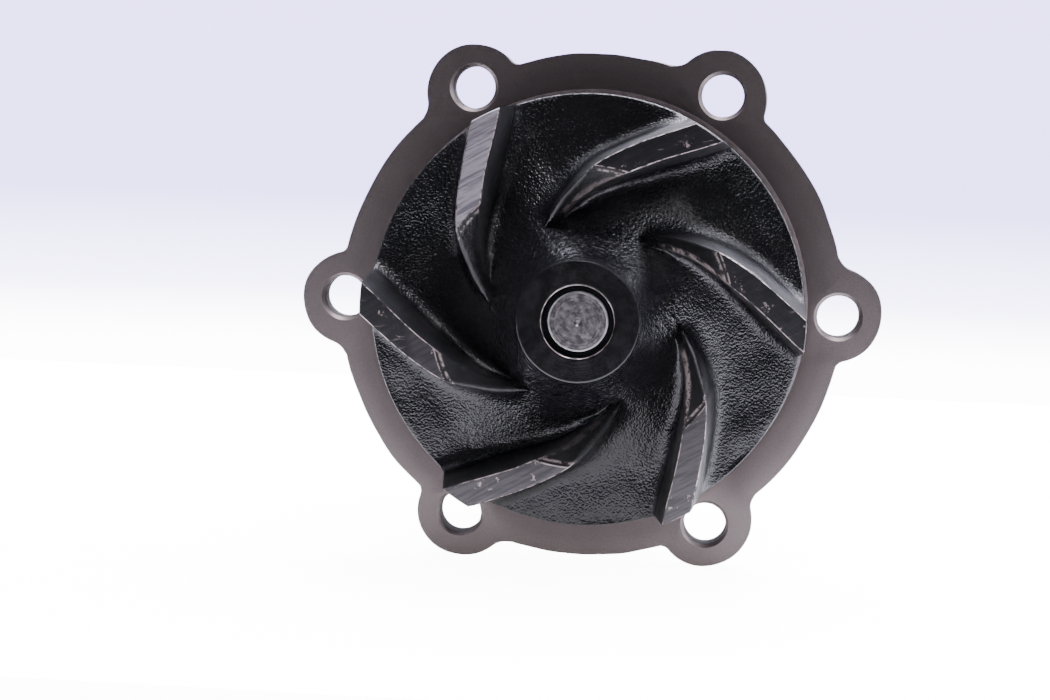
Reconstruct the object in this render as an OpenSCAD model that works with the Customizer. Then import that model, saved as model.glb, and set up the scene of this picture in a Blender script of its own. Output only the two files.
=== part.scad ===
// Engine coolant pump: six-ear mounting flange, semi-open six-vane impeller,
// integral ball-and-roller shaft bearing, mechanical face seal and pulley hub.
// The shaft lies along Y. The impeller faces -Y, the pulley hub faces +Y and +Z is up.
// The origin is the centre of the mounting face on the shaft axis.

/* [Mounting flange] */
// Diameter of the circle through the bolt holes
bolt_circle_d = 106; // [104:0.5:110]
// Clearance hole for an M8 bolt
bolt_hole_d = 9; // [8.4:0.1:10]
// Chamfer at the mouth of each bolt hole
hole_chamfer = 0.4; // [0.1:0.1:0.5]
// Thickness of the flange and its ears
flange_t = 6.5; // [6:0.5:9]
// Outer diameter of the flange between its ears
flange_d = 107.8; // [106:0.2:112]
// Radius of the rounded end of each ear
ear_r = 10.1; // [9:0.1:12]
// How far the centre of the ear's arc lies inboard of the bolt hole
ear_inset = 0.9; // [0:0.1:2]
// How far each ear leans round from its bolt hole, anticlockwise seen from the front
ear_lean = 0.4; // [0:0.1:0.8]
// Radius of the hollow corner on the side each ear leans to
ear_blend_r = 4.6; // [2:0.2:8]
// Radius of the hollow corner on the ear's other side
ear_tight_blend_r = 2.4; // [2:0.2:8]
// Diameter of the recess that the impeller runs in front of
recess_d = 90.2; // [88:0.2:92]
// Depth of that recess
recess_depth = 3; // [2:0.5:4]
// Width of the chamfer at the mouth of the recess
recess_chamfer = 1.3; // [0.2:0.1:1.5]
// Depth of that chamfer
recess_chamfer_depth = 0.6; // [0.2:0.1:1.5]

/* [Impeller] */
// Diameter of the impeller over its disc and its vane tips
impeller_d = 90.8; // [86:0.2:92]
// Number of vanes
vane_count = 6; // [5:1:7]
// Height of the machined vane lands above the mounting face
land_z = 29.3; // [27:0.1:32]
// Radius at which the machined part of a land ends
land_inner_r = 30.8; // [28:0.2:34]
// Radius at which a vane's inner ridge runs out into the disc
ridge_end_r = 19.5; // [18:0.5:21]
// Height of the front of the disc at its rim
disc_front_z = 12; // [11:0.5:14]
// Thickness of the disc at its rim
disc_rim_t = 7; // [5:0.5:8]
// Height of the hub's end face
hub_face_z = 41; // [41:0.5:44]
// Diameter of the hub's end face
hub_face_d = 24.4; // [22:0.2:27]
// Vane thickness at the tip
vane_tip_t = 5.2; // [4:0.1:6]
// Vane thickness near the hub
vane_root_t = 4; // [3:0.1:5]

/* [Shaft] */
// Shaft diameter in the bearing
shaft_d = 15.92; // [15.9:0.01:16]
// Diameter of the end that carries the impeller
nose_d = 12; // [11:0.1:12.5]
// Radius of the centre mark in that end
centre_mark_r = 0.9; // [0.6:0.1:1.8]
// How far the shaft's end is sunk below the hub face
nose_sink = 0.8; // [0.4:0.1:1.5]

/* [Bearing] */
// Outer diameter of the bearing's outer ring
bearing_d = 30; // [30:0.5:32]
// Length of the outer ring
bearing_len = 38.8; // [38:0.1:40]
// Ball diameter
ball_d = 6; // [5.8:0.1:6]
// Number of balls
ball_count = 8; // [7:1:8]
// Roller diameter
roller_d = 5; // [4.8:0.1:5]
// Roller length
roller_len = 10; // [9:0.5:11]
// Number of rollers
roller_count = 10; // [8:1:10]

/* [Seal] */
// Bore that the seal's cup is pressed into
seal_bore_d = 36.5; // [36:0.1:37]
// Free turns of the seal's spring
spring_turns = 3.5; // [3:0.5:4]
// Wire diameter of the seal's spring
spring_wire_d = 1.4; // [1.2:0.1:1.6]

/* [Pulley hub] */
// Diameter of the pulley hub's flange
hub_flange_d = 72; // [68:1:76]
// Thickness of that flange
hub_flange_t = 8; // [7:0.5:9]
// Diameter of the circle through the pulley bolt holes
pulley_circle_d = 52; // [50:0.5:54]
// Tapping diameter of the pulley bolt holes, for M8
pulley_tap_d = 6.8; // [6.6:0.1:7]
// Diameter of the spigot that centres the pulley
pilot_d = 25; // [24:0.5:27]
// Height of that spigot
pilot_h = 3; // [2:0.5:4]

/* [Hidden] */

$fn = 96;
ear_count = 6;
overlap = 1;
run_gap = 0.05;
race_gap = 0.12;

// Axial stations, measured forwards from the mounting face
shoulder_z = 7;
seal_face_z = 1.5;
boss_z = -6;
cup_back_z = -18;
chamber_back_z = -26;
drain_z = (cup_back_z + chamber_back_z) / 2;
bearing_front_z = chamber_back_z;
bearing_back_z = bearing_front_z - bearing_len;
circlip_t = 1.5;
circlip_z = bearing_back_z - circlip_t;
snout_back_z = circlip_z - 2.2;
hub_back_z = snout_back_z - 18;
hub_front_z = snout_back_z - 2.5;
shaft_back_z = hub_back_z - pilot_h + 1;

// Radii that several parts share
flange_r = flange_d / 2;
hole_circle_r = bolt_circle_d / 2;
recess_r = recess_d / 2;
impeller_r = impeller_d / 2;
shaft_r = shaft_d / 2;
nose_r = nose_d / 2;
bearing_r = bearing_d / 2;
snout_r = 21;
pot_r = 43.5;
boss_r = 22.5;
seal_r = seal_bore_d / 2;
cup_flange_r = 20.8;
chamber_r = 12.4;
drain_d = 6;
hub_boss_r = 14.5;

// Ball and roller tracks
ball_track_r = 10.3;
roller_track_r = 10.2;
ball_z = bearing_front_z - 10;
roller_z = bearing_front_z - 27;
ring_bore_r = 12;

// Vane centre line: angle gained from the tip inwards, in degrees
vane_tip_angle = -2.6;
vane_sweep = 0.93;
vane_sweep_growth = 0.046;
vane_inner_r = 13;
ridge_drop = 0.8;
bevel_w = 1.2;
trumpet_r = 26;

function polar(r, a) = [r * cos(a), r * sin(a)];
function arc(cx, cy, r, from, to, steps) =
  [for (i = [0:steps]) [cx + r * cos(from + (to - from) * i / steps),
                        cy + r * sin(from + (to - from) * i / steps)]];

// Stands a shape drawn about Z onto the pump's shaft axis, with Z pointing forwards
module on_shaft() {
  rotate([90, 0, 0])
    children();
}

module ring(outer_r, inner_r, z0, z1) {
  rotate_extrude()
    polygon([[inner_r, z0], [outer_r, z0], [outer_r, z1], [inner_r, z1]]);
}

module repeat_around(count, first = 0) {
  for (i = [0:count - 1])
    rotate([0, 0, first + i * 360 / count])
      children();
}

// ---- Housing ----

// Hollow corner of radius blend_r between an ear and the flange, on the given side of the ear
module ear_corner(blend_r, side) {
  ear_x = hole_circle_r - ear_inset;
  reach_flange = flange_r + blend_r;
  reach_ear = ear_r + blend_r;
  blend_x = (reach_flange * reach_flange - reach_ear * reach_ear + ear_x * ear_x) / (2 * ear_x);
  blend_y = side * sqrt(reach_flange * reach_flange - blend_x * blend_x);
  difference() {
    polygon([[ear_x / 2, 0], [ear_x, 0], [blend_x, blend_y]]);
    translate([blend_x, blend_y])
      circle(r = blend_r);
  }
}

module ear_outline() {
  translate([0, ear_lean]) {
    translate([hole_circle_r - ear_inset, 0])
      circle(r = ear_r);
    ear_corner(ear_blend_r, 1);
    ear_corner(ear_tight_blend_r, -1);
  }
}

module flange_plate() {
  translate([0, 0, -flange_t])
    linear_extrude(flange_t)
      union() {
        circle(r = flange_r);
        repeat_around(ear_count)
          ear_outline();
      }
}

// Back of the casting: pot behind the flange, neck and bearing snout
module housing_back() {
  neck_r = 6;
  rotate_extrude()
    polygon(concat(
      [[0, -1], [pot_r, -1], [pot_r, -flange_t - 2]],
      arc(pot_r - 6, -flange_t - 4, 6, 0, -70, 6),
      arc(snout_r + neck_r, -24.5, neck_r, 110, 180, 6),
      [[snout_r, snout_back_z + 1.5], [snout_r - 1.5, snout_back_z], [0, snout_back_z]]
    ));
}

// Webs that stiffen the snout, in the gaps between the ears at the two sides
module housing_webs() {
  web_t = 5;
  for (angle = [30, 150, 210, 330])
    rotate([0, 0, angle])
      translate([0, web_t / 2, 0])
        rotate([90, 0, 0])
          linear_extrude(web_t)
            polygon([[snout_r - 2, -10], [50, -4], [50, -flange_t - 1], [40, -19],
                     [snout_r + 4, -44], [snout_r - 2, -50]]);
}

// Raised pads around the drain hole below the shaft and the vent hole above it
module drain_pads() {
  for (side = [90, -90])
    rotate([0, 0, side])
      translate([chamber_r + 2, 0, drain_z])
        rotate([0, 90, 0])
          cylinder(r = drain_d / 2 + 3.5, h = 10.5, $fn = 48);
}

// Everything hollow on the axis: recess, water space, seal bore, chamber and bearing bore
module housing_hollow() {
  rotate_extrude()
    polygon([
      [0, overlap],
      [recess_r + recess_chamfer + overlap, overlap],
      [recess_r + recess_chamfer, 0],
      [recess_r, -recess_chamfer_depth],
      [recess_r, -recess_depth],
      [41, -recess_depth],
      [36, -12],
      [boss_r, -13],
      [boss_r, boss_z],
      [seal_r, boss_z],
      [seal_r, cup_back_z],
      [chamber_r, cup_back_z],
      [chamber_r, chamber_back_z],
      [bearing_r, chamber_back_z],
      [bearing_r, circlip_z + circlip_t],
      [bearing_r + 0.9, circlip_z + circlip_t],
      [bearing_r + 0.9, circlip_z],
      [bearing_r, circlip_z],
      [bearing_r, snout_back_z + 0.8],
      [bearing_r + 0.8 + overlap, snout_back_z - overlap],
      [0, snout_back_z - overlap]
    ]);
}

module bolt_holes() {
  hole_r = bolt_hole_d / 2;
  repeat_around(ear_count)
    translate([hole_circle_r, 0, 0]) {
      translate([0, 0, -flange_t - overlap])
        cylinder(r = hole_r, h = flange_t + 2 * overlap, $fn = 48);
      rotate_extrude($fn = 48)
        polygon([[0, overlap], [hole_r + hole_chamfer + overlap, overlap],
                 [hole_r, -hole_chamfer], [0, -hole_chamfer]]);
    }
}

// Flat seats for the bolt heads, behind the ears
module spot_faces() {
  repeat_around(ear_count)
    translate([hole_circle_r, 0, -flange_t - 30])
      cylinder(r = 9, h = 30, $fn = 64);
}

// Drain hole below the shaft and vent hole above it
module drain_holes() {
  for (side = [90, -90])
    rotate([0, 0, side])
      translate([chamber_r - 2, 0, drain_z])
        rotate([0, 90, 0])
          cylinder(d = drain_d, h = 30, $fn = 32);
}

module pump_housing() {
  color([0.42, 0.39, 0.38])
    on_shaft()
      difference() {
        union() {
          flange_plate();
          housing_back();
          housing_webs();
          drain_pads();
        }
        housing_hollow();
        bolt_holes();
        spot_faces();
        drain_holes();
      }
}

// ---- Impeller ----

function vane_angle(r) =
  vane_tip_angle + vane_sweep * (impeller_r - r) + vane_sweep_growth * pow(impeller_r - r, 2);
function vane_half_t(r) =
  (vane_root_t + (vane_tip_t - vane_root_t) * (r - vane_inner_r) / (impeller_r - vane_inner_r)) / 2;
function vane_heading(r) = polar(r + 0.5, vane_angle(r + 0.5)) - polar(r - 0.5, vane_angle(r - 0.5));
function vane_side(r, side) =
  let (along = vane_heading(r))
    polar(r, vane_angle(r)) + side * vane_half_t(r) * [-along[1], along[0]] / norm(along);

// Height of the disc's hollow front curve
function flare_z(r) =
  disc_front_z + trumpet_r - sqrt(pow(trumpet_r, 2) - pow(hub_face_d / 2 + trumpet_r - r, 2));

module vane_outline() {
  outer_r = impeller_r + 3;
  steps = 14;
  radii = [for (i = [0:steps]) vane_inner_r + (outer_r - vane_inner_r) * i / steps];
  polygon(concat(
    [for (r = radii) vane_side(r, 1)],
    [for (i = [steps:-1:0]) vane_side(radii[i], -1)]
  ));
}

// Solid of revolution that trims the vanes: tip diameter, land, bevel and falling inner ridge
module vane_envelope() {
  low_z = disc_front_z - 3;
  rotate_extrude()
    polygon([
      [ridge_end_r, low_z],
      [impeller_r, low_z],
      [impeller_r, land_z],
      [land_inner_r, land_z],
      [land_inner_r - bevel_w, land_z - ridge_drop],
      [ridge_end_r, flare_z(ridge_end_r)]
    ]);
}

// Disc whose front sweeps up to the hub in one hollow curve, cored out behind
module impeller_disc() {
  hub_r = hub_face_d / 2;
  back_z = disc_front_z - disc_rim_t;
  curve_z = disc_front_z + trumpet_r;
  rotate_extrude()
    polygon(concat(
      [[nose_r, hub_face_z], [hub_r - 0.5, hub_face_z], [hub_r, hub_face_z - 0.5]],
      arc(hub_r + trumpet_r, curve_z, trumpet_r, 180, 270, 20),
      [[impeller_r - 0.5, disc_front_z], [impeller_r, disc_front_z - 0.5],
       [impeller_r, back_z + 0.5], [impeller_r - 0.5, back_z], [41, back_z],
       [24, 10], [14, 15], [11, 15], [11, shoulder_z], [nose_r, shoulder_z]]
    ));
}

module impeller() {
  counterbore_r = 7.2;
  counterbore_depth = 3.5;
  color([0.07, 0.07, 0.08])
    on_shaft()
      difference() {
        union() {
          impeller_disc();
          intersection() {
            vane_envelope();
            repeat_around(vane_count)
              translate([0, 0, disc_front_z - 3])
                linear_extrude(land_z - disc_front_z + 3 + overlap)
                  vane_outline();
          }
        }
        translate([0, 0, hub_face_z - counterbore_depth])
          cylinder(r = counterbore_r, h = counterbore_depth + overlap);
      }
}

// ---- Shaft ----

module shaft() {
  nose_z = hub_face_z - nose_sink;
  groove_r = ball_d / 2 + race_gap;
  color([0.72, 0.71, 0.7])
    on_shaft()
      difference() {
        rotate_extrude()
          polygon([
            [0, shaft_back_z],
            [shaft_r - 1, shaft_back_z],
            [shaft_r, shaft_back_z + 1],
            [shaft_r, roller_z - roller_len / 2 - 0.6],
            [roller_track_r - roller_d / 2 - race_gap, roller_z - roller_len / 2 - 0.6],
            [roller_track_r - roller_d / 2 - race_gap, roller_z + roller_len / 2 + 0.6],
            [shaft_r, roller_z + roller_len / 2 + 0.6],
            [shaft_r, shoulder_z],
            [nose_r, shoulder_z],
            [nose_r, nose_z - 0.4],
            [nose_r - 0.4, nose_z],
            [centre_mark_r, nose_z],
            [0, nose_z - centre_mark_r]
          ]);
        rotate_extrude()
          translate([ball_track_r, ball_z])
            circle(r = groove_r, $fn = 48);
      }
}

// ---- Bearing ----

module bearing_outer_ring() {
  rim = 3.2;
  seat_r = 13.2;
  front = bearing_front_z;
  back = bearing_back_z;
  color([0.78, 0.78, 0.78])
    on_shaft()
      difference() {
        ring(bearing_r, ring_bore_r, back, front);
        ring(seat_r, ring_bore_r - overlap, front - rim, front + overlap);
        ring(seat_r, ring_bore_r - overlap, back - overlap, back + rim);
        ring(roller_track_r + roller_d / 2 + race_gap, ring_bore_r - overlap,
             roller_z - roller_len / 2 - 0.6, roller_z + roller_len / 2 + 0.6);
        rotate_extrude()
          translate([ball_track_r, ball_z])
            circle(r = ball_d / 2 + race_gap, $fn = 48);
      }
}

module bearing_balls() {
  color([0.85, 0.85, 0.86])
    on_shaft()
      repeat_around(ball_count)
        translate([ball_track_r, 0, ball_z])
          sphere(d = ball_d, $fn = 48);
}

module ball_cage() {
  pocket_r = ball_d / 2 + race_gap;
  color([0.78, 0.72, 0.5])
    on_shaft()
      difference() {
        ring(11.3, 9.1, ball_z - 2.2, ball_z + 4.2);
        repeat_around(ball_count)
          translate([ball_track_r, 0, ball_z])
            sphere(r = pocket_r, $fn = 48);
      }
}

module bearing_rollers() {
  color([0.83, 0.83, 0.84])
    on_shaft()
      repeat_around(roller_count)
        translate([roller_track_r, 0, roller_z - roller_len / 2])
          cylinder(d = roller_d, h = roller_len, $fn = 48);
}

module roller_cage() {
  pocket_r = roller_d / 2 + race_gap;
  pocket_len = roller_len + 2 * race_gap;
  color([0.78, 0.72, 0.5])
    on_shaft()
      difference() {
        ring(11.1, 9.3, roller_z - roller_len / 2 - 2, roller_z + roller_len / 2 + 2);
        repeat_around(roller_count)
          translate([roller_track_r, 0, roller_z - pocket_len / 2])
            cylinder(r = pocket_r, h = pocket_len, $fn = 48);
      }
}

// Lip seal seated in the outer ring, with its lip just clear of the shaft
module bearing_lip_seal(z0) {
  lip_r = shaft_r + run_gap;
  color([0.16, 0.13, 0.12])
    on_shaft()
      rotate_extrude()
        polygon([[13.2, z0], [13.2, z0 + 2.4], [9.6, z0 + 2.4], [lip_r, z0 + 1.6],
                 [lip_r, z0 + 1.1], [9.6, z0]]);
}

module front_bearing_seal() {
  bearing_lip_seal(bearing_front_z - 3);
}

module rear_bearing_seal() {
  bearing_lip_seal(bearing_back_z + 0.6);
}

// Internal snap ring that holds the bearing in the snout
module bearing_circlip() {
  color([0.3, 0.3, 0.32])
    on_shaft()
      difference() {
        ring(bearing_r + 0.8, bearing_r - 2, circlip_z + 0.05, circlip_z + circlip_t);
        translate([0, -4, circlip_z - overlap])
          cube([20, 8, circlip_t + 2 * overlap]);
      }
}

// ---- Mechanical face seal ----

module seal_cup() {
  skin = 0.9;
  color([0.8, 0.68, 0.4])
    on_shaft()
      rotate_extrude()
        polygon([
          [seal_r, cup_back_z], [seal_r, boss_z], [cup_flange_r, boss_z],
          [cup_flange_r, boss_z + skin], [seal_r - skin, boss_z + skin],
          [seal_r - skin, cup_back_z + skin], [10.2, cup_back_z + skin],
          [10.2, cup_back_z]
        ]);
}

module seal_bellows() {
  skin = 1;
  color([0.09, 0.09, 0.1])
    on_shaft()
      rotate_extrude()
        polygon([
          [11.2, cup_back_z + 1], [16.9, cup_back_z + 1], [16.9, cup_back_z + 2],
          [12.4, cup_back_z + 2], [12.4, -9.5], [14.6, -8], [12.4, -6.5],
          [12.4, -3], [15.1, -3], [15.1, seal_face_z - 1.2], [14.1, seal_face_z - 1.2],
          [14.1, -3 + skin], [11.4, -3 + skin], [11.4, -6.5], [13.2, -8], [11.4, -9.5],
          [11.2, -10.5]
        ]);
}

// Swept wire of the seal's spring
module seal_spring() {
  sides = 10;
  steps_per_turn = 20;
  steps = spring_turns * steps_per_turn;
  coil_r = 15.9;
  wire_r = spring_wire_d / 2;
  low_z = cup_back_z + 2.1 + wire_r;
  high_z = -3.9 - wire_r;
  centre = function (i) [coil_r * cos(i * 360 / steps_per_turn),
                         coil_r * sin(i * 360 / steps_per_turn),
                         low_z + (high_z - low_z) * i / steps];
  points = [for (i = [0:steps]) for (j = [0:sides - 1])
    let (turn = i * 360 / steps_per_turn, tilt = j * 360 / sides, c = centre(i))
      [c[0] + wire_r * cos(tilt) * cos(turn),
       c[1] + wire_r * cos(tilt) * sin(turn),
       c[2] + wire_r * sin(tilt)]];
  walls = [for (i = [0:steps - 1]) for (j = [0:sides - 1])
    [i * sides + j, i * sides + (j + 1) % sides,
     (i + 1) * sides + (j + 1) % sides, (i + 1) * sides + j]];
  first_end = [[for (j = [sides - 1:-1:0]) j]];
  last_end = [[for (j = [0:sides - 1]) steps * sides + j]];
  color([0.7, 0.7, 0.72])
    on_shaft()
      polyhedron(points, concat(walls, first_end, last_end), convexity = 8);
}

// Steel collar around the bellows' nose, which the spring pushes on
module seal_nose_ferrule() {
  color([0.75, 0.75, 0.76])
    on_shaft()
      rotate_extrude()
        polygon([[12.6, -3.8], [16.8, -3.8], [16.8, -3.1], [15.9, -3.1],
                 [15.9, seal_face_z - 1.2], [15.2, seal_face_z - 1.2], [15.2, -3.1],
                 [12.6, -3.1]]);
}

// Steel ring that clamps the bellows' tail into the cup
module seal_clamp_ring() {
  color([0.75, 0.75, 0.76])
    on_shaft()
      ring(17.3, 16.95, cup_back_z + 1, cup_back_z + 6);
}

module carbon_face_ring() {
  color([0.13, 0.13, 0.14])
    on_shaft()
      rotate_extrude()
        polygon([[11, -1.9], [14, -1.9], [14, seal_face_z - 1], [13.2, seal_face_z - 0.6],
                 [13.2, seal_face_z - run_gap], [11, seal_face_z - run_gap]]);
}

module seal_mating_ring() {
  color([0.86, 0.84, 0.78])
    on_shaft()
      ring(14.6, 10.2, seal_face_z, seal_face_z + 4);
}

module mating_ring_boot() {
  color([0.1, 0.1, 0.1])
    on_shaft()
      rotate_extrude()
        polygon([[9, seal_face_z + 0.3], [10.2, seal_face_z + 0.3], [10.2, seal_face_z + 4],
                 [14.6, seal_face_z + 4], [14.6, seal_face_z + 5], [9, seal_face_z + 5]]);
}

// Stainless sleeve pressed on the shaft, which carries the mating ring
module seal_sleeve() {
  color([0.77, 0.77, 0.78])
    on_shaft()
      rotate_extrude()
        polygon([[shaft_r, -14], [8.6, -14], [9, -13.4], [9, seal_face_z + 5], [15.4, seal_face_z + 5],
                 [15.4, shoulder_z], [shaft_r, shoulder_z]]);
}

// Disc that throws stray coolant outwards, away from the bearing
module shaft_slinger() {
  color([0.2, 0.2, 0.22])
    on_shaft()
      rotate_extrude()
        polygon([[shaft_r, -24.6], [9.4, -24.6], [11.4, -23.4], [11.4, -22.6], [9.4, -23.4],
                 [9.4, -21], [shaft_r, -21]]);
}

// ---- Pulley hub ----

module pulley_hub() {
  tap_r = pulley_tap_d / 2;
  face_z = hub_back_z;
  front_z = face_z + hub_flange_t;
  flange_edge = hub_flange_d / 2;
  pilot_r = pilot_d / 2;
  color([0.3, 0.3, 0.31])
    on_shaft()
      difference() {
        rotate_extrude()
          polygon([
            [shaft_r, hub_front_z], [hub_boss_r - 1, hub_front_z], [hub_boss_r, hub_front_z - 1],
            [hub_boss_r, front_z + 2], [hub_boss_r + 2, front_z], [flange_edge - 1, front_z],
            [flange_edge, front_z - 1], [flange_edge, face_z + 1], [flange_edge - 1, face_z],
            [pilot_r, face_z], [pilot_r, face_z - pilot_h + 0.5], [pilot_r - 0.5, face_z - pilot_h],
            [shaft_r, face_z - pilot_h]
          ]);
        repeat_around(4, 45)
          translate([pulley_circle_d / 2, 0, face_z - overlap])
            cylinder(r = tap_r, h = hub_flange_t + 2 * overlap, $fn = 48);
      }
}

pump_housing();
impeller();
shaft();
bearing_outer_ring();
bearing_balls();
ball_cage();
bearing_rollers();
roller_cage();
front_bearing_seal();
rear_bearing_seal();
bearing_circlip();
seal_cup();
seal_bellows();
seal_spring();
seal_nose_ferrule();
seal_clamp_ring();
carbon_face_ring();
seal_mating_ring();
mating_ring_boot();
seal_sleeve();
shaft_slinger();
pulley_hub();
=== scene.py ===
"""Looks of the coolant pump: cast housing, painted impeller, bearing, seal and pulley hub."""
import math

import bmesh
import bpy
import numpy as np
from mathutils import Matrix, Vector


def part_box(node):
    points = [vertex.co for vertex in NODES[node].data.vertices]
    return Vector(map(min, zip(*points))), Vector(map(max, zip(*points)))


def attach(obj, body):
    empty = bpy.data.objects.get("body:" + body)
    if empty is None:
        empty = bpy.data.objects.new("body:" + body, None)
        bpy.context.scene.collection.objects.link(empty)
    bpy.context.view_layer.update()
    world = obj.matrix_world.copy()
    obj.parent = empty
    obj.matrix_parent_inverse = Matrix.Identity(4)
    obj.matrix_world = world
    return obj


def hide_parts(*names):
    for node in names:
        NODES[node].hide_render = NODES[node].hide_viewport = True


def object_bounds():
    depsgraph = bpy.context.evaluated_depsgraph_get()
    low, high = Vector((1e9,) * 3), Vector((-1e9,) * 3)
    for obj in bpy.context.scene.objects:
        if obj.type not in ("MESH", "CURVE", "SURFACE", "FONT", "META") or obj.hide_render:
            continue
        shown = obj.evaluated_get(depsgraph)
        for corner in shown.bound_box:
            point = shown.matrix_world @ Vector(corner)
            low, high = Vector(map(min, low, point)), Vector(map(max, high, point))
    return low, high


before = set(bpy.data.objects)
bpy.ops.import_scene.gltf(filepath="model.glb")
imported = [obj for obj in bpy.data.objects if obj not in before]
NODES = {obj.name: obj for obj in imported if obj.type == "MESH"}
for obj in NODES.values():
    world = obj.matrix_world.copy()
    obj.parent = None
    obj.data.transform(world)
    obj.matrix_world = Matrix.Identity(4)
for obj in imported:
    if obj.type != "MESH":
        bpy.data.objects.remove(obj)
cad_low, cad_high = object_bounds()

MM = 0.001
CAD_HALF_W = cad_high[0] / MM
CAD_HALF_H = cad_high[2] / MM

# Camera, matched to the photograph's viewing angle
CAMERA_PLACE = Vector((29.1, -512.5, 39.6)) * MM
CAMERA_AIM = Vector((-13.59, 0, -9.94)) * MM
CAMERA_ROLL = math.radians(2.04)
SENSOR_W = 36.0
FOCAL_PX = 2400
PHOTO_W = 1050

# Flange, as in the CAD model, in millimetres
EAR_COUNT = 6
HOLE_CIRCLE_R = 53.0
HOLE_R = 4.5
HOLE_CHAMFER = 0.7
FLANGE_T = 6.5
CAST_SPARE = 0.3
FLANGE_R = 53.9
EAR_R = 10.1
EAR_INSET = 0.9
EAR_LEAN = 0.4
EAR_BLEND_R = {1: 4.6, -1: 2.4}
RECESS_R = 45.1
RECESS_CHAMFER = 1.3
RECESS_CHAMFER_Z = 0.6
RECESS_DEPTH = 3.0
SNOUT_R = 21.0
POT_R = 43.5
SNOUT_BACK = 68.5
DRAIN_Z = -22.0
POT_BACK = -16.1
POT_DISH = 0.19
POT_DISH_R = 39.5
WATER_FLOOR_R = 41.0
SEAL_SEAT_R = 22.5
SEAL_BORE_R = 18.25
SEAL_FLOOR = -18.0
NECK_BORE_R = 12.4
BEARING_FRONT = -26.0
BEARING_R = 15.0
CIRCLIP_DEPTH = 0.9
CIRCLIP_FRONT = -64.8
CIRCLIP_BACK = -66.3
DRAIN_R = 3.0
DRAIN_PAD_R = 6.5
DRAIN_PAD_Z = 24.9
SPOT_FACE_R = 9.0
SPOT_FACE_CUT = 0.02
WEB_ANGLES = (30, 150, 210, 330)
WEB_HALF_T = 2.1
WEB_DRAFT = 0.03
WEB_OUTLINE = [(50, -4), (50, -7.5), (40, -19), (25, -44), (19, -50), (10, -30), (10, -9)]
SKIN_WAVES = 0.09
CAST_STEP = 0.7

# Impeller, as in the CAD model, in millimetres; heights are measured forwards from the mounting face
VANES = 6
IMPELLER_R = 45.4
LAND_Z = 29.3
LAND_INNER_R = 30.8
BEVEL_W = 1.2
RIDGE_DROP = 0.8
DISC_FRONT_Z = 12.0
DISC_BACK_Z = 5.0
HUB_Z = 41.0
HUB_R = 12.2
TRUMPET_R = 26.0
COUNTERBORE_R = 7.2
COUNTERBORE_DEPTH = 3.5
NOSE_R = 6.0
SHOULDER_Z = 7.0
SHAFT_R = 7.96
VANE_TIP_ANGLE = -2.6
VANE_SWEEP = 0.93
VANE_SWEEP_GROWTH = 0.046
VANE_ROOT_T = 4.0
VANE_TIP_T = 5.2
VANE_INNER_R = 13.0
RIDGE_END_R = 19.5
RIDGE_END_T = 2.2


# ---------- Meshes ----------

def on_shaft(x, up, forward):
    """Millimetres across, up and forwards of the mounting face, as metres in the part's frame."""
    return np.stack([np.asarray(x), -np.asarray(forward), np.asarray(up)], axis=-1) * MM


def mesh_piece(name, points, faces, sharp_deg=35):
    """A piece from points in metres; edges that turn by more than sharp_deg stay sharp."""
    mesh = bpy.data.meshes.new(name)
    mesh.from_pydata([tuple(p) for p in points], [], faces)
    mesh.validate()
    piece = bpy.data.objects.new(name, mesh)
    bpy.context.scene.collection.objects.link(piece)
    tidy_normals(mesh, sharp_deg)
    return piece


def tidy_normals(mesh, sharp_deg):
    bm = bmesh.new()
    bm.from_mesh(mesh)
    bmesh.ops.recalc_face_normals(bm, faces=bm.faces)
    limit = math.radians(sharp_deg)
    for face in bm.faces:
        face.smooth = True
    for edge in bm.edges:
        edge.smooth = len(edge.link_faces) == 2 and edge.calc_face_angle(0) < limit
    bm.to_mesh(mesh)
    bm.free()


def grid_faces(rows, columns):
    """Quads of a grid that closes on itself both ways."""
    faces = []
    for i in range(rows):
        below = (i + 1) % rows
        for j in range(columns):
            right = (j + 1) % columns
            faces.append((i * columns + j, i * columns + right,
                          below * columns + right, below * columns + j))
    return faces


def cast_waves(places, depth):
    """Slow waves of a sand casting's skin at places in millimetres, about +-2 times depth."""
    random = np.random.default_rng(7)
    total = np.zeros(places.shape[:-1])
    for wave in range(14):
        heading = random.normal(size=3)
        heading *= 2 * math.pi / (random.uniform(6, 20) * np.linalg.norm(heading))
        total += np.sin(places @ heading + random.uniform(0, 2 * math.pi))
    return total * depth / math.sqrt(7)


def round_join(first, second, radius):
    """Union of two distance fields with a hollow fillet between them."""
    inner = np.hypot(np.maximum(radius - first, 0), np.maximum(radius - second, 0))
    return np.maximum(radius, np.minimum(first, second)) - inner


def round_meet(first, second, radius):
    """Intersection of two distance fields with a rounded edge."""
    outer = np.hypot(np.maximum(radius + first, 0), np.maximum(radius + second, 0))
    return np.minimum(-radius, np.maximum(first, second)) + outer


PROBE = 0.05


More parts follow.
